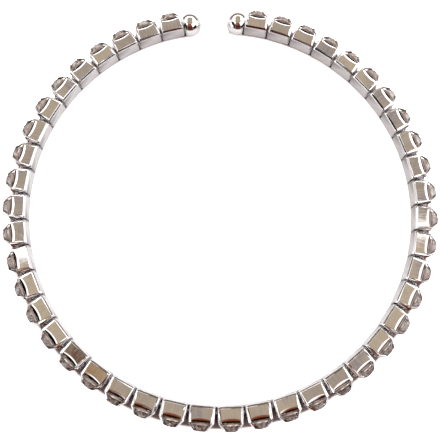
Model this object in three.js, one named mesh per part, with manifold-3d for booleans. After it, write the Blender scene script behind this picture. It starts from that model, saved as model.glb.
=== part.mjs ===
// Flexible open bangle: a single row of square four-prong cups, each holding a round
// crystal that faces outwards, strung side by side on a hidden spring wire. A polished
// ball closes each end of the row, and a narrow gap between the balls lets the wrist in.
//
// Millimetres. The bangle lies flat, so +Z is the axis of the ring, and the gap faces +Y.
// The origin is at the bottom centre of the bangle's box.

import * as THREE from 'three';
import { mergeVertices } from 'three/addons/utils/BufferGeometryUtils.js';
import Module from 'manifold-3d';

// ---- driving dimensions ---------------------------------------------------------------

const settingCount = 45;
const settingPitch = 4.0; // from setting to setting, along their inner faces
const innerRadius = 30.15; // ring centre to the middle of an inner face

const settingHeight = 2.9; // across the top and bottom faces, along the ring's axis
const baseWidth = 3.8; // along the row, at the inner face
const shoulderWidth = 3.5; // along the row, where the prongs turn in
const baseBevel = 0.15; // round the inner face
const baseCornerCut = 0.32; // the four long corners, at the base
const shoulderCornerCut = 0.46; // and where the prongs turn in

const rimReach = 1.8; // inner face to the rim between two prongs
const shoulderReach = 2.4; // to where the prongs turn in over the crystal
const prongReach = 3.3; // to the tips of the prongs
const prongInset = 0.02; // prong to the faces of the cup that it stands on
const prongRow = [1.0, 0.5, 0.34]; // its length along the row: foot, shoulder, tip
const prongAxis = [0.95, 0.48, 0.34]; // and along the axis
const prongTip = [0.95, 0.9]; // outer corner of a tip from the middle, row and axis
const prongTipCut = 0.17;

const crystalDiameter = 2.8;
const tableDiameter = 1.56;
const seatDiameter = 0.95; // where the crystal stands in the cup
const girdleReach = 2.68; // inner face to its widest line
const tableReach = 3.4; // inner face to its flat top
const crystalSides = 8;

const wireDiameter = 0.6;
const wireInset = 1.2; // inner faces to the middle of the wire
const wireSides = 6;
const wireSteps = 48;
const wireEndGap = 0.3; // between its end and the bottom of the socket
const boreWidth = 1.1; // the square way through each setting for the wire

const ballDiameter = 3.8;
const ballSeat = 1.0; // ball centre to its flat back
const ballGap = 0.2; // between that flat and the last setting
const socketDiameter = 1.2; // for the end of the wire
const socketDepth = 1.7;
const ballSides = 16;
const ballRings = 7;

// ---- values worked out from them ------------------------------------------------------

const pitchAngle = 2 * Math.atan(settingPitch / 2 / innerRadius);
const wireRadius = innerRadius + wireInset;
const gapAngle = Math.PI / 2;
const ballShift = baseWidth / 2 + ballGap + ballSeat; // last setting's middle to the ball

// ---- materials ------------------------------------------------------------------------

const platedMetal = new THREE.MeshStandardMaterial({
  color: 0xd9d6d2, metalness: 1.0, roughness: 0.12,
});
const springSteel = new THREE.MeshStandardMaterial({
  color: 0x8f9093, metalness: 1.0, roughness: 0.35,
});

// ---- solids: closed meshes in, closed meshes out ----------------------------------------

const wasm = await Module();
wasm.setup();

function solidFrom(geometry) {
  const bare = geometry.clone();
  bare.deleteAttribute('normal');
  bare.deleteAttribute('uv');
  const closed = mergeVertices(bare, 1e-5);
  return new wasm.Manifold(new wasm.Mesh({
    numProp: 3,
    vertProperties: Float32Array.from(closed.attributes.position.array),
    triVerts: Uint32Array.from(closed.index.array),
  }));
}

function geometryFrom(solid) {
  const { vertProperties, triVerts } = solid.getMesh();
  const geometry = new THREE.BufferGeometry();
  geometry.setAttribute('position', new THREE.BufferAttribute(vertProperties, 3));
  geometry.setIndex(new THREE.BufferAttribute(triVerts, 1));
  geometry.computeVertexNormals();
  return geometry;
}

// ---- one setting ------------------------------------------------------------------------
// In its own frame x runs along the row, y outwards from the inner face and z up.

// How wide the cup is along the row, and how far its corners are cut, at one reach.
function widthAt(reach) {
  return THREE.MathUtils.mapLinear(reach, baseBevel, shoulderReach, baseWidth, shoulderWidth);
}

function cornerCutAt(reach) {
  return THREE.MathUtils.mapLinear(
    reach, baseBevel, shoulderReach, baseCornerCut, shoulderCornerCut,
  );
}

// A closed skin through rings of [x, z] points, each ring at its own reach along y.
function loft(levels) {
  const sides = levels[0].ring.length;
  const positions = levels.flatMap(({ ring, reach }) => {
    const next = (i) => ring[(i + 1) % sides];
    const area = ring.reduce((sum, [x, z], i) => sum + z * next(i)[0] - x * next(i)[1], 0);
    const turned = area > 0 ? ring : [...ring].reverse();
    return turned.flatMap(([x, z]) => [x, reach, z]);
  });
  const index = [];
  for (let level = 0; level < levels.length - 1; level++) {
    for (let i = 0; i < sides; i++) {
      const [a, b] = [level * sides + i, level * sides + (i + 1) % sides];
      index.push(a, b, b + sides, a, b + sides, a + sides);
    }
  }
  const top = (levels.length - 1) * sides;
  for (let i = 1; i < sides - 1; i++) {
    index.push(0, i + 1, i, top, top + i, top + i + 1);
  }
  const geometry = new THREE.BufferGeometry();
  geometry.setAttribute('position', new THREE.Float32BufferAttribute(positions, 3));
  geometry.setIndex(index);
  return geometry;
}

// A rectangle with cut corners.
function cutRectangle(width, height, cut) {
  const [x, z] = [width / 2, height / 2];
  return [
    [x - cut, z], [x, z - cut], [x, cut - z], [x - cut, -z],
    [cut - x, -z], [-x, cut - z], [-x, z - cut], [cut - x, z],
  ];
}

// The square cup up to its rim, with a bevel round the inner face.
function cupBlock() {
  const inner = cutRectangle(
    baseWidth - 2 * baseBevel, settingHeight - 2 * baseBevel, baseCornerCut,
  );
  return loft([
    { reach: 0, ring: inner },
    { reach: baseBevel, ring: cutRectangle(baseWidth, settingHeight, baseCornerCut) },
    {
      reach: rimReach,
      ring: cutRectangle(widthAt(rimReach), settingHeight, cornerCutAt(rimReach)),
    },
  ]);
}

// A prong on one corner of the cup: broad at its foot, so that the rim between two prongs
// is scooped, and leaning in over the crystal from its shoulder to its tip.
function prong(sx, sz) {
  const axis = settingHeight / 2 - prongInset;
  const foot = rimReach - prongInset;
  const levels = [
    { reach: foot, row: widthAt(foot) / 2 - prongInset, axis, cut: cornerCutAt(foot) },
    {
      reach: shoulderReach,
      row: shoulderWidth / 2 - prongInset,
      axis,
      cut: shoulderCornerCut,
    },
    { reach: prongReach, row: prongTip[0], axis: prongTip[1], cut: prongTipCut },
  ];
  return loft(levels.map((level, i) => ({
    reach: level.reach,
    ring: [
      [level.row, level.axis - prongAxis[i]],
      [level.row, level.axis - level.cut],
      [level.row - level.cut, level.axis],
      [level.row - prongRow[i], level.axis],
      [level.row - prongRow[i], level.axis - prongAxis[i]],
    ].map(([x, z]) => [sx * x, sz * z]),
  })));
}

// The crystal on its seat: a flat table, a sloping crown and a back that narrows to the seat.
function crystal() {
  const seatReach = rimReach - prongInset;
  return new THREE.LatheGeometry([
    new THREE.Vector2(0, seatReach),
    new THREE.Vector2(seatDiameter / 2, seatReach),
    new THREE.Vector2(crystalDiameter / 2, girdleReach),
    new THREE.Vector2(tableDiameter / 2, tableReach),
    new THREE.Vector2(0, tableReach),
  ], crystalSides).rotateY(Math.PI / crystalSides);
}

// The straight way through the cup for the wire, along x.
function wireBore() {
  return new THREE.BoxGeometry(2 * baseWidth, boreWidth, boreWidth).translate(0, wireInset, 0);
}

function settingGeometry() {
  let setting = solidFrom(cupBlock()).subtract(solidFrom(wireBore()));
  for (const [sx, sz] of [[1, 1], [1, -1], [-1, -1], [-1, 1]]) {
    setting = setting.add(solidFrom(prong(sx, sz)));
  }
  return geometryFrom(setting.add(solidFrom(crystal())));
}

// ---- end balls and wire -------------------------------------------------------------------

// A ball with a flat back towards -y and a blind socket in it for the wire.
function ballGeometry() {
  const radius = ballDiameter / 2;
  const start = Math.acos(ballSeat / radius);
  const profile = [
    new THREE.Vector2(0, socketDepth - ballSeat),
    new THREE.Vector2(socketDiameter / 2, socketDepth - ballSeat),
    new THREE.Vector2(socketDiameter / 2, -ballSeat),
  ];
  for (let ring = 0; ring <= ballRings; ring++) {
    const angle = start + (Math.PI - start) * ring / ballRings;
    const away = ring === ballRings ? 0 : radius * Math.sin(angle);
    profile.push(new THREE.Vector2(away, -radius * Math.cos(angle)));
  }
  return new THREE.LatheGeometry(profile, ballSides);
}

// The wire's line: an arc the long way round from one ball to the other.
class WireArc extends THREE.Curve {
  constructor(radius, firstAngle, lastAngle) {
    super();
    Object.assign(this, { radius, firstAngle, lastAngle });
  }

  getPoint(t) {
    const angle = THREE.MathUtils.lerp(this.firstAngle, this.lastAngle, t);
    return new THREE.Vector3(this.radius * Math.cos(angle), this.radius * Math.sin(angle), 0);
  }
}

function wireGeometry(firstAngle, lastAngle) {
  const section = new THREE.Shape(Array.from({ length: wireSides }, (_, side) => {
    const angle = 2 * Math.PI * side / wireSides;
    return new THREE.Vector2(Math.cos(angle), Math.sin(angle)).multiplyScalar(wireDiameter / 2);
  }));
  return new THREE.ExtrudeGeometry(section, {
    steps: wireSteps,
    bevelEnabled: false,
    extrudePath: new WireArc(wireRadius, firstAngle, lastAngle),
  });
}

// ---- assembly -------------------------------------------------------------------------------

// The middle one of the settings lies opposite the gap, and the row is even on both sides.
function settingAngle(number) {
  const middle = (settingCount + 1) / 2;
  return gapAngle + Math.PI + (number - middle) * pitchAngle;
}

// A frame at one angle of the ring, with y outwards and x along the row.
function place(mesh, angle, x, y) {
  const spoke = new THREE.Group();
  spoke.rotation.z = angle - Math.PI / 2;
  mesh.position.set(x, y, 0);
  spoke.add(mesh);
  return spoke;
}

const ring = new THREE.Group();

const settingShape = settingGeometry();
for (let number = 1; number <= settingCount; number++) {
  const setting = new THREE.Mesh(settingShape, platedMetal);
  setting.name = `setting_${String(number).padStart(2, '0')}`;
  ring.add(place(setting, settingAngle(number), 0, innerRadius));
}

const ballShape = ballGeometry();
const ballReach = Math.sqrt(wireRadius ** 2 - ballShift ** 2);
for (const [name, number, side] of [['ball_left', 1, 1], ['ball_right', settingCount, -1]]) {
  const ball = new THREE.Mesh(ballShape, platedMetal);
  ball.name = name;
  ball.rotation.z = -side * Math.PI / 2;
  ring.add(place(ball, settingAngle(number), side * ballShift, ballReach));
}

const wireEnd = (ballShift - ballSeat + socketDepth - wireEndGap) / wireRadius;
const wire = new THREE.Mesh(
  wireGeometry(settingAngle(1) - wireEnd, settingAngle(settingCount) + wireEnd),
  springSteel,
);
wire.name = 'core_wire';
ring.add(wire);

// Stand the ring on z = 0 with its box centred on the z axis.
const bracelet = new THREE.Group();
bracelet.add(ring);
bracelet.updateMatrixWorld(true);
const box = new THREE.Box3().setFromObject(ring, true);
ring.position.set(-(box.min.x + box.max.x) / 2, -(box.min.y + box.max.y) / 2, -box.min.z);
bracelet.updateMatrixWorld(true);

export default bracelet;
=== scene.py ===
"""Looks of an open flexible bangle: 45 square four-prong cups in a row on a spring wire,
each holding a round brilliant that faces outwards, with a polished ball at both ends.

The cup, the brilliant and the ball are each modelled once, in millimetres, and copied round
the ring. There x runs along the row, y outwards from the ring's centre and z up. A cup and
its brilliant have y = 0 on the cup's inner face, and a ball has it in its own middle.
"""

import math
import random

import bmesh
import bpy
from mathutils import Euler, Matrix, Vector


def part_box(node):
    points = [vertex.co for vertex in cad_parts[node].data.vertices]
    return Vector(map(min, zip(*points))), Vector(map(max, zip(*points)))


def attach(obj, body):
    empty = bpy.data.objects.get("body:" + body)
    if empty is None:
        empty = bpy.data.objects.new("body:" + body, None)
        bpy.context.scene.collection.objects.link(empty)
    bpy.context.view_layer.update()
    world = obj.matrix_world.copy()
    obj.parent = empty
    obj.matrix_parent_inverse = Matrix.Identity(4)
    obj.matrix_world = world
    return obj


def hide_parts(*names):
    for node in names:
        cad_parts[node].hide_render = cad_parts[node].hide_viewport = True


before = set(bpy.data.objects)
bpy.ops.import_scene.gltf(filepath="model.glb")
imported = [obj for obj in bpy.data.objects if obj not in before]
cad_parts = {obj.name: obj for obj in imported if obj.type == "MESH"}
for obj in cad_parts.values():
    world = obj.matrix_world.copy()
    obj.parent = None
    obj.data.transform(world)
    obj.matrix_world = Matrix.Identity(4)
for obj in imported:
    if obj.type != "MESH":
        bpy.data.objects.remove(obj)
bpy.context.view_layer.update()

MM = 0.001

# ---- the ring, from the frame -----------------------------------------------------------

settings = sorted(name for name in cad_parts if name.startswith("setting_"))
middle_setting = settings[len(settings) // 2]


def middle(node):
    """The mean of a node's corners, which lies on the setting's own axis."""
    corners = [vertex.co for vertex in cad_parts[node].data.vertices]
    return sum(corners, Vector()) / len(corners)


def ring_centre():
    """The point along y from the middle setting that is as far from the first one."""
    bottom = middle(middle_setting)
    across = middle(settings[0]) - bottom
    radius = across.xy.length_squared / (2 * across.y)
    return Vector((bottom.x, bottom.y + radius, bottom.z))


centre = ring_centre()
low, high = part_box(middle_setting)
inner_radius = (centre.y - high.y) / MM
cup_width = (high.x - low.x) / MM
cup_height = (high.z - low.z) / MM


def angle_of(node):
    """The direction from the ring's centre to a setting."""
    outwards = middle(node) - centre
    return math.atan2(outwards.y, outwards.x)


# ---- driving dimensions, in millimetres -------------------------------------------------
# Reach is measured outwards from the inner face, and height from the middle of the cup.

# the soft edge of the inner face, from the walls inwards: (reach, height) of each step
inner_edge = ((0.10, 0.06), (0.15, 0.15), (0.05, 0.09))
edge_narrowing = 0.995     # along the row, at each of those steps
shoulder_width = 3.78      # along the row, where the prongs turn in
shoulder_reach = 2.4
prong_reach = 3.55
tip_row, tip_axis = 1.05, 0.9      # outer corner of a prong's tip
# rounded corner posts: how far each takes up the row's and the axis' side of the section
base_post = (0.42, 0.45)
shoulder_post = (0.58, 0.58)
tip_post = (0.3, 0.3)
post_steps = 8
# The bevel of the cup's edges is asked for this width. The cup's shortest edges hold it to
# almost nothing, so what it gives is softer shading along them.
edge_round = 0.05
edge_steps = 3

rim_reach = 1.62           # lowest point of the rim between two prongs
rim_radius = 5.0           # its curve, seen from the top
rim_corners = 120          # in a full circle of that curve
dish_side = 0.95           # how far in the cutter's side goes, of that radius
# the rim's profile from the face inwards: (length, degrees below the face)
rim_profile = ((0.10, 5), (0.10, 10), (0.10, 15), (0.10, 19), (0.12, 20), (0.12, 20))
band_slope = 20            # of the band that goes on under the brilliant
band_reach = (1.3, 2.36)   # from under the rim to where the band ends
band_half = (1.29, 1.37)   # half its width at each of those
window_half = 1.45         # half the open width between two prongs, at their feet
window_foot = 2.3
window_shoulder = 2.5
prong_gap = 0.64           # half the opening between two tips
side_squeeze = 0.65        # width of the band and window beside a neighbour, of those on top
cutter_floor = 0.3         # height at which the cutters of the walls stop

brilliant_radius = 1.42
table_radius = 0.84
table_reach = 3.64
# the corners halfway up the crown, as shares of the brilliant's radius and the crown's height
bend_radius, bend_height = 0.8, 0.62
girdle_reach = 2.68
girdle_thickness = 0.12
culet_reach = 1.35
culet_radius = 0.03        # as a share of the brilliant's
grip = 0.02                # how far the prongs hold over the brilliant
seat_corners = 48
seat_point = 0.15          # radius of the seat's lowest end, as a share of its widest

wire_reach = 1.2           # inner faces to the middle of the wire
bore_radius = 0.5
bore_length = 6
bore_corners = 24

ball_gap = 0.2             # last cup to the ball's flat back
ball_seat = 1.0            # ball centre to its flat back
ball_segments = 72
back_rim = 0.08            # width of a flat ring along the edge of that back
socket_radius = 0.6
socket_depth = 1.7

# where painted shade darkens a cup's plating
hidden_depth = 0.02        # under the walls beside the neighbours, all of it counts as hidden
hidden_fade = 0.06         # and from there on down less and less of it
seat_start = 1.76          # reach at which the band begins to darken
# a corner belongs to a band from this height up, and from this depth under the wall down
band_floor, band_depth = 0.95, 0.05


# ---- modelling by hand, in code ---------------------------------------------------------

def start(name):
    """The primitive that was just added, named, with its place in its mesh, in edit mode."""
    piece = bpy.context.object
    piece.name = name
    bpy.ops.object.transform_apply(location=True, rotation=True, scale=True)
    bpy.ops.object.mode_set(mode="EDIT")
    return piece


def clear_selection():
    """Deselects every object, out of edit mode."""
    if bpy.context.object and bpy.context.object.mode != "OBJECT":
        bpy.ops.object.mode_set(mode="OBJECT")
    bpy.ops.object.select_all(action="DESELECT")


def pick(kind, test):
    """Selects, in edit mode, the corners ("VERT"), edges or faces that pass a test."""
    piece = bpy.context.object
    bpy.ops.mesh.select_mode(type=kind)
    bpy.ops.mesh.select_all(action="DESELECT")
    shape = bmesh.from_edit_mesh(piece.data)
    elements = {"VERT": shape.verts, "EDGE": shape.edges, "FACE": shape.faces}[kind]
    for element in elements:
        element.select_set(bool(test(element)))
    shape.select_flush_mode()
    bmesh.update_edit_mesh(piece.data)


def near(a, b):
    return abs(a - b) < 1e-3


def pick_level(reach):
    """Selects the faces whose middle is at that reach."""
    pick("FACE", lambda f: near(f.calc_center_median().y, reach))


def extrude(x=0, y=0, z=0):
    bpy.ops.mesh.extrude_region_move(TRANSFORM_OT_translate={"value": (x, y, z)})


def resize(x=1, y=1, z=1, about=(0, 0, 0)):
    bpy.ops.transform.resize(value=(x, y, z), center_override=about)


def turn_faces_outwards():
    bpy.ops.mesh.select_all(action="SELECT")
    bpy.ops.mesh.normals_make_consistent(inside=False)


def apply_modifier(piece, kind, **values):
    """Adds a modifier with those values and applies it."""
    bpy.context.view_layer.objects.active = piece
    modifier = piece.modifiers.new(kind.title(), kind)
    for key, value in values.items():
        setattr(modifier, key, value)
    bpy.ops.object.modifier_apply(modifier=modifier.name)


def combine(piece, operation, other):
    """Cuts a piece by another ("DIFFERENCE") or keeps what they share ("INTERSECT")."""
    apply_modifier(piece, "BOOLEAN", operation=operation, solver="EXACT", object=other)
    bpy.data.objects.remove(other)


# ---- the cup ----------------------------------------------------------------------------

def shape_corners(reach, was, now):
    """Moves the four rounded corners at one reach from one (row, axis, post) to another."""
    (row_was, axis_was, post_was), (row, axis, post) = was, now
    for sx in (-1, 1):
        for sz in (-1, 1):
            pick("VERT", lambda v: near(v.co.y, reach) and v.co.x * sx > 0 and v.co.z * sz > 0)
            resize(x=post[0] / post_was[0], z=post[1] / post_was[1],
                   about=(sx * row_was, reach, sz * axis_was))
            bpy.ops.transform.translate(value=(sx * (row - row_was), 0, sz * (axis - axis_was)))


def cup_block():
    """A square block with rounded posts up to the shoulder, drawn in to the prongs' tips."""
    half = cup_height / 2
    bpy.ops.mesh.primitive_cube_add(
        size=1, location=(0, shoulder_reach / 2, 0), scale=(cup_height, shoulder_reach, cup_height))
    block = start("cup")
    pick("EDGE", lambda e: not near(e.verts[0].co.y, e.verts[1].co.y))
    bpy.ops.mesh.bevel(offset=base_post[0], offset_type="OFFSET", segments=post_steps)
    square = (half, half, (base_post[0], base_post[0]))
    shoulder = (shoulder_width / 2, half, shoulder_post)
    shape_corners(0, square, (cup_width / 2, half, base_post))
    shape_corners(shoulder_reach, square, shoulder)
    pick_level(shoulder_reach)
    extrude(y=prong_reach - shoulder_reach)
    shape_corners(prong_reach, shoulder, (tip_row, tip_axis, tip_post))
    pick_level(0)
    depth = sum(reach for reach, height in inner_edge)
    bpy.ops.transform.translate(value=(0, depth, 0))
    level = half
    for reach, height in inner_edge:
        extrude(y=-reach)
        resize(x=edge_narrowing, z=(level - height) / level)
        level -= height
    turn_faces_outwards()
    bpy.ops.object.mode_set(mode="OBJECT")
    return block


def tapered_prism(face, *levels):
    """A block round a wall at z = face, with its own half width at each reach."""
    clear_selection()
    (low_reach, low_half), (next_reach, next_half) = levels[:2]
    bpy.ops.mesh.primitive_cube_add(
        size=1, location=(0, (low_reach + next_reach) / 2, face),
        scale=(2 * low_half, next_reach - low_reach, 2 * (face - cutter_floor)))
    prism = start("prism")
    pick("FACE", lambda f: f.normal.y > 0.9)
    resize(x=next_half / low_half)
    for (was_reach, was_half), (reach, half) in zip(levels[1:], levels[2:]):
        extrude(y=reach - was_reach)
        resize(x=half / was_half)
    bpy.ops.object.mode_set(mode="OBJECT")
    return prism


def band_cutter(face):
    """The soft rim and the band under it: a wide dish's side, kept between the two posts."""
    clear_selection()
    above = 0.5                # start of the cutter, over the face
    radius = rim_radius + above
    bpy.ops.mesh.primitive_circle_add(
        vertices=rim_corners, radius=radius, fill_type="NGON",
        location=(0, rim_reach + rim_radius, face + above))
    dish = start("dish")
    bpy.ops.mesh.select_all(action="SELECT")
    steps = [(above, above)]
    steps += [(run, run * math.tan(math.radians(slope))) for run, slope in rim_profile]
    rest = rim_radius * dish_side - sum(run for run, slope in rim_profile)
    steps.append((rest, rest * math.tan(math.radians(band_slope))))
    for run, drop in steps:
        extrude(z=-drop)
        shrink = (radius - run) / radius
        resize(x=shrink, y=shrink, about=(0, rim_reach + rim_radius, 0))
        radius -= run
    turn_faces_outwards()
    bpy.ops.object.mode_set(mode="OBJECT")
    combine(dish, "INTERSECT", tapered_prism(face, *zip(band_reach, band_half)))
    return dish


def window_cutter(face):
    """The opening between two prongs, which closes in towards their tips."""
    closing = (window_half - prong_gap) / (prong_reach - window_shoulder)
    beyond = 0.2               # end of the cutter, past the tips
    return tapered_prism(face, (window_foot, window_half), (window_shoulder, window_half),
                         (prong_reach + beyond, prong_gap - closing * beyond))


def cut_walls(cup):
    """The same band and window in all four walls, narrower in those beside the neighbours."""
    for quarter in range(4):
        to_neighbour = quarter % 2 == 1
        face = (shoulder_width if to_neighbour else cup_height) / 2
        squeeze = Matrix.Scale(side_squeeze if to_neighbour else 1, 4, (1, 0, 0))
        turn = Matrix.Rotation(quarter * math.pi / 2, 4, "Y")
        for cutter in (band_cutter(face), window_cutter(face)):
            cutter.data.transform(turn @ squeeze)
            combine(cup, "DIFFERENCE", cutter)


def seat_cutter():
    """The hollow that the brilliant sits in: a turned shape of its outline, a little smaller."""
    clear_selection()
    seat_radius = brilliant_radius - grip
    bpy.ops.mesh.primitive_cylinder_add(
        vertices=seat_corners, radius=seat_radius, depth=girdle_thickness,
        location=(0, girdle_reach - girdle_thickness / 2, 0), rotation=(math.pi / 2, 0, 0))
    cutter = start("seat")
    pick_level(girdle_reach)
    extrude(y=table_reach - girdle_reach)
    shrink = (table_radius - grip) / seat_radius
    resize(x=shrink, z=shrink, about=(0, table_reach, 0))
    pick_level(girdle_reach - girdle_thickness)
    extrude(y=culet_reach - girdle_reach + girdle_thickness)
    resize(x=seat_point, z=seat_point, about=(0, culet_reach, 0))
    bpy.ops.object.mode_set(mode="OBJECT")
    return cutter


def bore_cutter():
    """The way through the cup for the wire."""
    clear_selection()
    bpy.ops.mesh.primitive_cylinder_add(
        vertices=bore_corners, radius=bore_radius, depth=bore_length,
        location=(0, wire_reach, 0), rotation=(0, math.pi / 2, 0))
    cutter = start("bore")
    bpy.ops.object.mode_set(mode="OBJECT")
    return cutter


def shade(piece, flat_area, sharp_angle):
    """Smooth shading, with sharp edges round the flat faces and along the steeper corners."""
    shape = bmesh.new()
    shape.from_mesh(piece.data)
    for face in shape.faces:
        face.smooth = True
    for edge in shape.edges:
        wide = any(face.calc_area() > flat_area for face in edge.link_faces)
        edge.smooth = not wide and edge.calc_face_angle(math.pi) < math.radians(sharp_angle)
    shape.to_mesh(piece.data)
    shape.free()


def mark_hidden_sides(cup):
    """How far each corner lies in the walls beside the neighbours, as the attribute between, which
    the plating turns into painted shade.
    """
    mask = cup.data.attributes.new("between", "FLOAT", "POINT")
    for corner, value in zip(cup.data.vertices, mask.data):
        taper = min(corner.co.y / shoulder_reach, 1) * (cup_width - shoulder_width) / 2
        depth = cup_width / 2 - taper - abs(corner.co.x)
        value.value = 1 - min(max((depth - hidden_depth) / hidden_fade, 0), 1)


def mark_seat(cup):
    """How far each corner of a band lies beyond where its painted shade begins, as the attribute
    seat.
    """
    mask = cup.data.attributes.new("seat", "FLOAT", "POINT")
    top = cup_height / 2 - band_depth
    side = shoulder_width / 2 - band_depth
    for corner, value in zip(cup.data.vertices, mask.data):
        x, y, z = (abs(part) for part in corner.co)
        in_top = x < band_half[1] and band_floor < z < top
        in_side = z < band_half[1] * side_squeeze and band_floor < x < side
        if (in_top or in_side) and y < girdle_reach:
            value.value = max(y - seat_start, 0)


def model_cup():
    clear_selection()
    cup = cup_block()
    cut_walls(cup)
    for cutter in (seat_cutter(), bore_cutter()):
        combine(cup, "DIFFERENCE", cutter)
    apply_modifier(cup, "BEVEL", width=edge_round, segments=edge_steps, limit_method="ANGLE",
                   angle_limit=math.radians(30))
    shade(cup, flat_area=0.4, sharp_angle=35)
    mark_hidden_sides(cup)
    mark_seat(cup)
    return cup


# ---- the brilliant ----------------------------------------------------------------------

def facet_corners(count, radius, reach, turned=False):
    """A level of corners round the brilliant's axis, turned by half a step or not."""
    angle = math.pi / count if turned else 0
    bpy.ops.mesh.primitive_circle_add(
        vertices=count, radius=radius, location=(0, reach, 0), rotation=(math.pi / 2, angle, 0))


def model_brilliant():
    """A round brilliant: corners at five levels, closed by flat facets."""
    clear_selection()
    facet_corners(8, table_radius, table_reach)
    brilliant = start("brilliant")
    crown_height = table_reach - girdle_reach
    facet_corners(8, brilliant_radius * bend_radius, girdle_reach + crown_height * bend_height,
                  turned=True)
    facet_corners(16, brilliant_radius, girdle_reach)
    facet_corners(16, brilliant_radius, girdle_reach - girdle_thickness)
    facet_corners(8, brilliant_radius * culet_radius, culet_reach)
    bpy.ops.mesh.select_all(action="SELECT")
    bpy.ops.mesh.convex_hull()
    turn_faces_outwards()
    bpy.ops.object.mode_set(mode="OBJECT")
    finish_facets(brilliant)
    return brilliant


def finish_facets(brilliant):
    """Facets of the crown, the back and the edge, as materials 0, 1 and 2, each with a tone."""
    tone = brilliant.data.attributes.new("tone", "FLOAT", "FACE")
    shades = random.Random(16)
    for face in brilliant.data.polygons:
        behind = face.center.y < girdle_reach - girdle_thickness - 0.01
        upright = abs(face.normal.y) < 0.1
        face.material_index = 1 if behind else 2 if upright else 0
        tone.data[face.index].value = shades.random()


# ---- the ball ---------------------------------------------------------------------------

def model_ball(radius):
    """A ball whose flat back, towards -x, has a socket for the wire."""
    clear_selection()
    bpy.ops.mesh.primitive_uv_sphere_add(
        segments=ball_segments, ring_count=ball_segments // 2, radius=radius,
        rotation=(0, math.pi / 2, 0))
    ball = start("ball")
    bpy.ops.mesh.select_all(action="SELECT")
    bpy.ops.mesh.bisect(
        plane_co=(-ball_seat, 0, 0), plane_no=(1, 0, 0), clear_inner=True, use_fill=True)
    pick("FACE", lambda f: f.normal.x < -0.99 and near(f.calc_center_median().x, -ball_seat))
    flat_radius = math.sqrt(radius ** 2 - ball_seat ** 2)
    bpy.ops.mesh.inset(thickness=back_rim)
    bpy.ops.mesh.inset(thickness=flat_radius - back_rim - socket_radius)
    extrude(x=socket_depth)
    bpy.ops.object.mode_set(mode="OBJECT")
    bpy.ops.object.shade_smooth_by_angle(angle=math.radians(30))
    return ball


# ---- materials --------------------------------------------------------------------------

class Tree:
    """Short ways to write shading nodes. A value is a number, a colour or a node's socket."""

    def __init__(self, tree):
        self.nodes = tree.nodes
        self.links = tree.links

    def feed(self, value, socket):
        if isinstance(value, bpy.types.NodeSocket):
            self.links.new(value, socket)
        else:
            socket.default_value = value

    def math(self, operation, *values):
        node = self.nodes.new("ShaderNodeMath")
        node.operation = operation
        for socket, value in zip(node.inputs, values):
            self.feed(value, socket)
        return node.outputs[0]

    def both(self, mask, other):
        return self.math("MULTIPLY", mask, other)

    def either(self, mask, other):
        return self.math("MAXIMUM", mask, other)

    def distance(self, x, y):
        """How far a point at x, y is from the ring's axis."""
        return self.math("SQRT", self.math("ADD", self.math("MULTIPLY", x, x),
                                           self.math("MULTIPLY", y, y)))

    def step(self, value, low, high):
        """0 below low, 1 above high, smooth between them; the other way round for low > high."""
        node = self.nodes.new("ShaderNodeMapRange")
        node.interpolation_type = "SMOOTHSTEP"
        self.feed(value, node.inputs["Value"])
        node.inputs["From Min"].default_value = low
        node.inputs["From Max"].default_value = high
        return node.outputs[0]

    def within(self, value, low, high, soft):
        """1 between low and high, with an edge that is soft to both sides of each."""
        return self.both(self.step(value, low - soft, low + soft),
                         self.step(value, high + soft, high - soft))

    def scaled(self, mask, low, high):
        """From low where a mask is 0 to high where it is 1."""
        node = self.nodes.new("ShaderNodeMapRange")
        self.feed(mask, node.inputs["Value"])
        node.inputs["To Min"].default_value = low
        node.inputs["To Max"].default_value = high
        return node.outputs[0]

    def mix(self, mask, under, over):
        """The colour under where a mask is 0, and the one over it where it is 1."""
        node = self.nodes.new("ShaderNodeMix")
        node.data_type = "RGBA"
        self.feed(mask, node.inputs["Factor"])
        self.feed(under, node.inputs["A"])
        self.feed(over, node.inputs["B"])
        return node.outputs["Result"]

    def layered(self, colour, *layers):
        """A colour under layers of (mask, colour), the last one on top."""
        for mask, over in layers:
            colour = self.mix(mask, colour, over)
        return colour

    def noise(self, vector, scale, detail=2):
        node = self.nodes.new("ShaderNodeTexNoise")
        node.inputs["Scale"].default_value = scale
        node.inputs["Detail"].default_value = detail
        self.links.new(vector, node.inputs["Vector"])
        return node.outputs["Fac"]

    def attribute(self, name):
        node = self.nodes.new("ShaderNodeAttribute")
        node.attribute_name = name
        return node.outputs["Fac"]

    def texture_place(self, kind):
        return self.nodes.new("ShaderNodeTexCoord").outputs[kind]

    def split(self, vector):
        node = self.nodes.new("ShaderNodeSeparateXYZ")
        self.links.new(vector, node.inputs[0])
        return node.outputs

    def place(self):
        """The place in the ring: its x, y and z from the ring's centre."""
        shift = self.nodes.new("ShaderNodeVectorMath")
        shift.operation = "SUBTRACT"
        self.links.new(self.texture_place("Object"), shift.inputs[0])
        shift.inputs[1].default_value = centre
        return self.split(shift.outputs[0])

    def seen_by_camera(self):
        return self.nodes.new("ShaderNodeLightPath").outputs["Is Camera Ray"]


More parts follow.
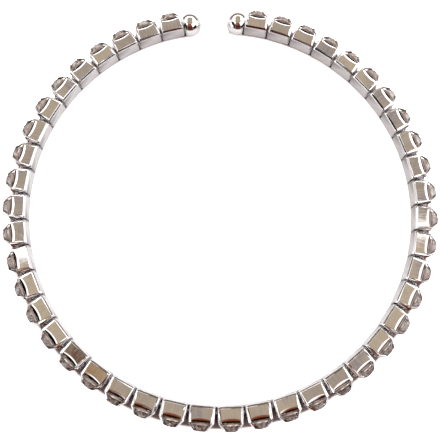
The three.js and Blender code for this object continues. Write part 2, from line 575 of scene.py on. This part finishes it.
def polish_marks():
    """A group shared by the metals: fine marks that run outwards from the ring's centre."""
    streak_stretch = 0.12      # makes a streak eight times as long as it is wide
    group = bpy.data.node_groups.new("polish_marks", "ShaderNodeTree")
    group.interface.new_socket("Marks", in_out="OUTPUT", socket_type="NodeSocketFloat")
    group.interface.new_socket("Normal", in_out="OUTPUT", socket_type="NodeSocketVector")
    tree = Tree(group)
    x, y, z = tree.place()
    unrolled = tree.nodes.new("ShaderNodeCombineXYZ")
    tree.feed(tree.math("MULTIPLY", tree.math("ARCTAN2", y, x), inner_radius * MM),
              unrolled.inputs[0])
    tree.feed(tree.math("MULTIPLY", tree.distance(x, y), streak_stretch), unrolled.inputs[1])
    tree.feed(z, unrolled.inputs[2])
    streaks = tree.noise(unrolled.outputs[0], scale=5200, detail=2)
    blotches = tree.noise(tree.texture_place("Object"), scale=1500, detail=3)
    marks = tree.math("ADD", tree.math("MULTIPLY", streaks, 0.6),
                      tree.math("MULTIPLY", blotches, 0.4))
    bump = tree.nodes.new("ShaderNodeBump")
    bump.inputs["Strength"].default_value = 0.02
    bump.inputs["Distance"].default_value = 0.01 * MM
    tree.feed(marks, bump.inputs["Height"])
    output = tree.nodes.new("NodeGroupOutput")
    tree.feed(tree.step(marks, 0.4, 0.62), output.inputs["Marks"])
    tree.feed(bump.outputs["Normal"], output.inputs["Normal"])
    return group


def new_material(name):
    """A new material, with its tree and the inputs of its Principled shader."""
    material = bpy.data.materials.new(name)
    material.use_nodes = True
    shader = material.node_tree.nodes["Principled BSDF"]
    return material, Tree(material.node_tree), shader.inputs


def add_marks(tree, sockets, marks, smooth, worn):
    """Relief from the shared marks, and roughness that goes from smooth to worn with them."""
    node = tree.nodes.new("ShaderNodeGroup")
    node.node_tree = marks
    tree.feed(tree.scaled(node.outputs["Marks"], smooth, worn), sockets["Roughness"])
    tree.feed(node.outputs["Normal"], sockets["Normal"])
    return node.outputs["Marks"]


def plated_metal(marks):
    """Bright plating, with painted shade: darker between the cups, on the band going under each
    brilliant, and in a thin line round it.
    """
    polished, rubbed = (0.75, 0.73, 0.74, 1), (0.82, 0.80, 0.81, 1)
    # the last three colours are painted shade: for the walls between the cups, for the band under
    # each brilliant, and for the thin line round it
    painted_gap_shade, painted_seat_shade, painted_seam_shade = (0.12, 0.085, 0.085, 1), (0.45, 0.37, 0.35, 1), (0.035, 0.02, 0.018, 1)
    material, tree, sockets = new_material("plated_metal")
    sockets["Metallic"].default_value = 1
    worn = add_marks(tree, sockets, marks, smooth=0.03, worn=0.09)
    x, y, z = tree.place()
    halfway_up = tree.step(tree.math("ABSOLUTE", z), 1.2 * MM, 0.8 * MM)
    painted_shade_between_cups = tree.both(halfway_up, tree.attribute("between"))
    seat = tree.attribute("seat")          # in mm
    # painted shade over the plating, set by the attributes between and seat
    tree.feed(tree.layered(tree.mix(worn, polished, rubbed),
                           (painted_shade_between_cups, painted_gap_shade),
                           # painted shade on the band as it goes under the brilliant, then a darker
                           # painted line right round the brilliant
                           (tree.step(seat, 0.02, 0.24), painted_seat_shade),
                           (tree.within(seat, 0.28, 0.48, 0.04), painted_seam_shade)),
              sockets["Base Color"])
    return material


clear_glass = (1.0, 0.95, 0.93, 1)


def crystal():
    """Clear facets among darker ones, all slightly clouded."""
    smoky = (0.47, 0.33, 0.29, 1)
    material, tree, sockets = new_material("crystal")
    is_clear = tree.step(tree.attribute("tone"), 0.34, 0.46)
    tree.feed(tree.mix(is_clear, smoky, clear_glass), sockets["Base Color"])
    sockets["Transmission Weight"].default_value = 0.93
    sockets["Roughness"].default_value = 0.0
    sockets["IOR"].default_value = 1.58
    return material


def foil(marks):
    """The mirror behind a brilliant: facets of two tones from inside the glass, lacquer outside."""
    dark_facet, lacquer = (0.15, 0.085, 0.075, 1), (0.46, 0.39, 0.36, 1)
    material, tree, sockets = new_material("foil")
    inside = tree.nodes.new("ShaderNodeNewGeometry").outputs["Backfacing"]
    is_clear = tree.step(tree.attribute("tone"), 0.36, 0.46)
    facet = tree.mix(is_clear, dark_facet, clear_glass)
    tree.feed(tree.mix(inside, lacquer, facet), sockets["Base Color"])
    tree.feed(tree.scaled(inside, 0.5, 1.0), sockets["Metallic"])
    worn = add_marks(tree, sockets, marks, smooth=0.3, worn=0.5)
    tree.feed(tree.math("MULTIPLY", tree.scaled(inside, 1.0, 0.1), tree.scaled(worn, 0.4, 0.6)),
              sockets["Roughness"])
    return material


def ground_glass():
    """The satin edge between a brilliant's crown and its foil, with painted glints: a light cream
    on some facets, picked at random, which are also smoother.
    """
    # the edge's own dull colour, and a light cream that is a painted glint
    dull, painted_glint = (0.40, 0.31, 0.27, 1), (0.92, 0.84, 0.76, 1)
    material, tree, sockets = new_material("ground_glass")
    is_painted_glint = tree.step(tree.attribute("tone"), 0.35, 0.75)
    tree.feed(tree.mix(is_painted_glint, dull, painted_glint), sockets["Base Color"])
    tree.feed(tree.scaled(is_painted_glint, 0.4, 0.2), sockets["Roughness"])
    return material


def spring_steel(marks):
    """Dull grey wire, lighter where it is rubbed."""
    dull, rubbed = (0.17, 0.16, 0.16, 1), (0.26, 0.25, 0.25, 1)
    material, tree, sockets = new_material("spring_steel")
    worn = add_marks(tree, sockets, marks, smooth=0.28, worn=0.45)
    tree.feed(tree.mix(worn, dull, rubbed), sockets["Base Color"])
    sockets["Metallic"].default_value = 1
    return material


# ---- assembly ---------------------------------------------------------------------------

def place_copy(master, name, matrix, materials, replaced):
    """A copy of a master with its own mesh, laid in its place in the ring."""
    piece = master.copy()
    piece.data = master.data.copy()
    piece.name = name
    piece.data.transform(matrix)
    parts = [face.material_index for face in piece.data.polygons]
    piece.data.materials.clear()
    for material in materials:
        piece.data.materials.append(material)
    piece.data.polygons.foreach_set("material_index", parts)
    bpy.context.scene.collection.objects.link(piece)
    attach(piece, "root")
    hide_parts(replaced)


def place_of(node, side=0, reach=0):
    """From a setting's own frame, in millimetres, to its place in the ring."""
    turn = Matrix.Rotation(angle_of(node) - math.pi / 2, 4, "Z")
    return (Matrix.Translation(centre) @ turn @ Matrix.Scale(MM, 4)
            @ Matrix.Translation((side, inner_radius + reach, 0)))


def add_settings(metal, glass_materials):
    """The cups and their brilliants. Each cup leans and twists by small angles of its own."""
    spread = 0.5               # of those angles, in degrees
    cup = model_cup()
    brilliant = model_brilliant()
    chance = random.Random(45)
    for node in settings:
        number = node[-2:]
        lean = Matrix.Rotation(math.radians(chance.gauss(0, spread)), 4, "X")
        twist = Matrix.Rotation(math.radians(chance.gauss(0, spread)), 4, "Y")
        place = place_of(node) @ lean @ twist
        place_copy(cup, f"cup_{number}", place, [metal], node)
        eighths = Matrix.Rotation(chance.randrange(8) * math.pi / 4, 4, "Y")
        place_copy(brilliant, f"brilliant_{number}", place @ eighths, glass_materials,
                   node)
    return cup, brilliant


def add_balls(metal):
    """A ball on the wire past each end of the row, its flat back towards the last cup."""
    ball_low, ball_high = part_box("ball_left")
    ball = model_ball((ball_high.z - ball_low.z) / 2 / MM)
    shift = cup_width / 2 + ball_gap + ball_seat
    reach = math.sqrt((inner_radius + wire_reach) ** 2 - shift ** 2) - inner_radius
    for node, end, side in (("ball_left", settings[0], -1), ("ball_right", settings[-1], 1)):
        half_turn = Matrix.Rotation(math.pi if side > 0 else 0, 4, "Z")
        place = place_of(end, -side * shift, reach) @ half_turn
        place_copy(ball, f"end_{node}", place, [metal], node)
    return ball


marks = polish_marks()
metal = plated_metal(marks)
glass_materials = [crystal(), foil(marks), ground_glass()]

masters = (*add_settings(metal, glass_materials), add_balls(metal))
for master in masters:
    bpy.data.objects.remove(master)

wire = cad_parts["core_wire"]
wire.data.materials.clear()
wire.data.materials.append(spring_steel(marks))


# ---- floor, light and camera ------------------------------------------------------------

def make_floor():
    """A white table with a painted shadow. The camera sees it darker in the notches of the row and
    close round it, by how much of the sky the ring leaves open there, from 0 for none to 1 for all.
    """
    floor_width = 4            # metres
    shadow_shift = 0.3         # of the ring's soft shadow to the near side, in mm
    shadow_inset = 0.25        # prongs' tips to the shadow's edge, in mm
    # the painted shadow's colours, from its deepest to its lightest
    painted_shadow_deepest, painted_shadow_lightest = (0.03, 0.02, 0.02, 1), (0.31, 0.235, 0.25, 1)
    paper, paper_in_mirrors = (3.2, 3.25, 3.25, 1), (1.08, 1.10, 1.12, 1)
    clear_selection()
    bpy.ops.mesh.primitive_plane_add(size=floor_width)
    floor = bpy.context.object
    floor.name = "floor"
    material = bpy.data.materials.new("white_table")
    material.use_nodes = True
    tree = Tree(material.node_tree)
    matt = tree.nodes.new("ShaderNodeBsdfDiffuse")
    open_sky = tree.nodes.new("ShaderNodeAmbientOcclusion")
    open_sky.samples = 8
    open_sky.inputs["Distance"].default_value = 3 * MM
    light = open_sky.outputs["AO"]
    x, y, z = tree.place()

    # soft masks of the floor inside the row, outside it, and between the balls
    inside = tree.step(tree.distance(x, y), (inner_radius + 0.5) * MM, (inner_radius + 0.1) * MM)
    outer = inner_radius + prong_reach - shadow_inset
    outside = tree.step(tree.distance(x, tree.math("ADD", y, shadow_shift * MM)),
                        (outer - 0.3) * MM, (outer + 0.15) * MM)
    end = middle("ball_right").x - centre.x
    opening = tree.both(tree.step(tree.math("ABSOLUTE", x), end + 1 * MM, end),
                        tree.step(y, 0, 1 * MM))
    clear = tree.both(tree.either(outside, opening), tree.step(light, 0.46, 0.60))
    open_floor = tree.either(tree.either(inside, clear), tree.step(light, 0.80, 0.95))
    shadow = tree.mix(tree.step(light, 0.26, 0.42), painted_shadow_deepest, painted_shadow_lightest)
    colour = tree.mix(tree.seen_by_camera(), paper_in_mirrors,
                      tree.mix(open_floor, shadow, paper))
    tree.feed(colour, matt.inputs["Color"])
    tree.links.new(matt.outputs["BSDF"], tree.nodes["Material Output"].inputs["Surface"])
    floor.data.materials.append(material)


def make_sky():
    """A white tent, brighter on the far side, with a taupe ceiling over the ring, black and
    cream cloths, a dark door under a brown lintel on the near side, and a dark horizon on the
    far side. The pieces mirror all of it, and the camera itself sees plain white.
    """
    world = bpy.data.worlds.new("studio")
    bpy.context.scene.world = world
    world.use_nodes = True
    sky = Tree(world.node_tree)
    direction = sky.texture_place("Generated")
    x, y, z = sky.split(direction)

    # on the walls: degrees from the near side to the right, and degrees up
    bearing = sky.math("MULTIPLY", sky.math("ARCTAN2", x, sky.math("MULTIPLY", y, -1)),
                       180 / math.pi)
    elevation = sky.math("MULTIPLY", sky.math("ARCSINE", z), 180 / math.pi)

    def patch(sides, heights, soft):
        return sky.both(sky.within(bearing, *sides, soft[0]),
                        sky.within(elevation, *heights, soft[1]))

    # on the ceiling: how far to the right and away, for a height of 1
    height = sky.math("MAXIMUM", z, 0.001)
    across = sky.math("DIVIDE", x, height)
    away = sky.math("DIVIDE", y, height)

    def spot(widths, depths, soft, sideways=across):
        return sky.both(sky.within(sideways, *widths, soft[0]),
                        sky.within(away, *depths, soft[1]))

    white = (2.2, 2.2, 2.2, 1)
    black = (0.012, 0.007, 0.006, 1)
    taupe = sky.mix(sky.step(sky.noise(direction, 9), 0.35, 0.65),
                    (0.44, 0.37, 0.30, 1), (0.60, 0.50, 0.36, 1))
    grey_clouds = sky.step(sky.noise(direction, 23), 0.55, 0.62)
    warm_side = spot((-0.42, -0.18), (-0.15, -0.02), (0.04, 0.03))
    dark_spot = spot((-0.26, -0.205), (-0.022, 0.02), (0.01, 0.008))
    strips = spot((0.3, 0.46), (0.15, 0.18), (0.03, 0.01), sky.math("ABSOLUTE", across))
    ceiling = sky.layered(taupe,
                          (grey_clouds, (0.38, 0.33, 0.315, 1)),
                          (warm_side, (0.42, 0.26, 0.13, 1)),
                          (dark_spot, (0.18, 0.11, 0.075, 1)),
                          (strips, white))
    door_browns = sky.layered((0.14, 0.05, 0.035, 1),
                              (sky.step(elevation, 22, 30), (0.06, 0.015, 0.010, 1)),
                              (sky.step(elevation, 32, 44), (0.22, 0.060, 0.024, 1)),
                              (sky.step(elevation, 52, 60), (0.42, 0.15, 0.075, 1)))
    far_side = sky.step(sky.math("ABSOLUTE", bearing), 100, 125)
    horizon = sky.both(sky.within(elevation, -1, 27, 2), far_side)
    cream_cloth = patch((-140, -88), (19, 36), (6, 2))
    left_cloth = patch((-92, -50), (20, 48), (5, 3))
    long_cloth = patch((-52, -30), (3, 48), (5, 3))
    right_cloth = patch((30, 75), (3, 32), (5, 3))
    door = patch((-33, 33), (2, 62), (8, 4))
    lintel = patch((-47, 30), (50, 72), (6, 3))
    over_ring = spot((-0.52, 0.52), (-0.36, 1.25), (0.05, 0.05))
    colour = sky.layered(white,
                         (far_side, (3.6, 3.6, 3.6, 1)),
                         (horizon, (0.19, 0.155, 0.12, 1)),
                         (cream_cloth, (0.86, 0.82, 0.76, 1)),
                         (left_cloth, black),
                         (long_cloth, black),
                         (right_cloth, black),
                         (door, door_browns),
                         (lintel, (0.31, 0.115, 0.065, 1)),
                         (over_ring, ceiling),
                         (sky.seen_by_camera(), white))
    sky.links.new(colour, sky.nodes["Background"].inputs["Color"])


def make_camera():
    """Over the ring, a little to the near side and to the left, rolled slightly."""
    lens, distance = 46.1, 86.34       # millimetres
    azimuth, elevation, roll = math.radians(-7.63), math.radians(78.12), math.radians(5.39)
    aim_offset = Vector((-0.39, -2.80, 0)) * MM        # from the top of the ring's centre
    data = bpy.data.cameras.new("camera")
    data.lens = lens
    data.clip_start = 0.001
    camera = bpy.data.objects.new("camera", data)
    bpy.context.scene.collection.objects.link(camera)
    bpy.context.scene.camera = camera
    back = Vector((math.sin(azimuth) * math.cos(elevation),
                   -math.cos(azimuth) * math.cos(elevation), math.sin(elevation)))
    aim = Vector((centre.x, centre.y, high.z)) + aim_offset
    camera.location = aim + back * distance * MM
    look = (-back).to_track_quat("-Z", "Y")
    camera.rotation_mode = "QUATERNION"
    camera.rotation_quaternion = look @ Euler((0, 0, roll)).to_quaternion()


make_floor()
make_sky()
make_camera()
bpy.context.scene.view_settings.view_transform = "Standard"
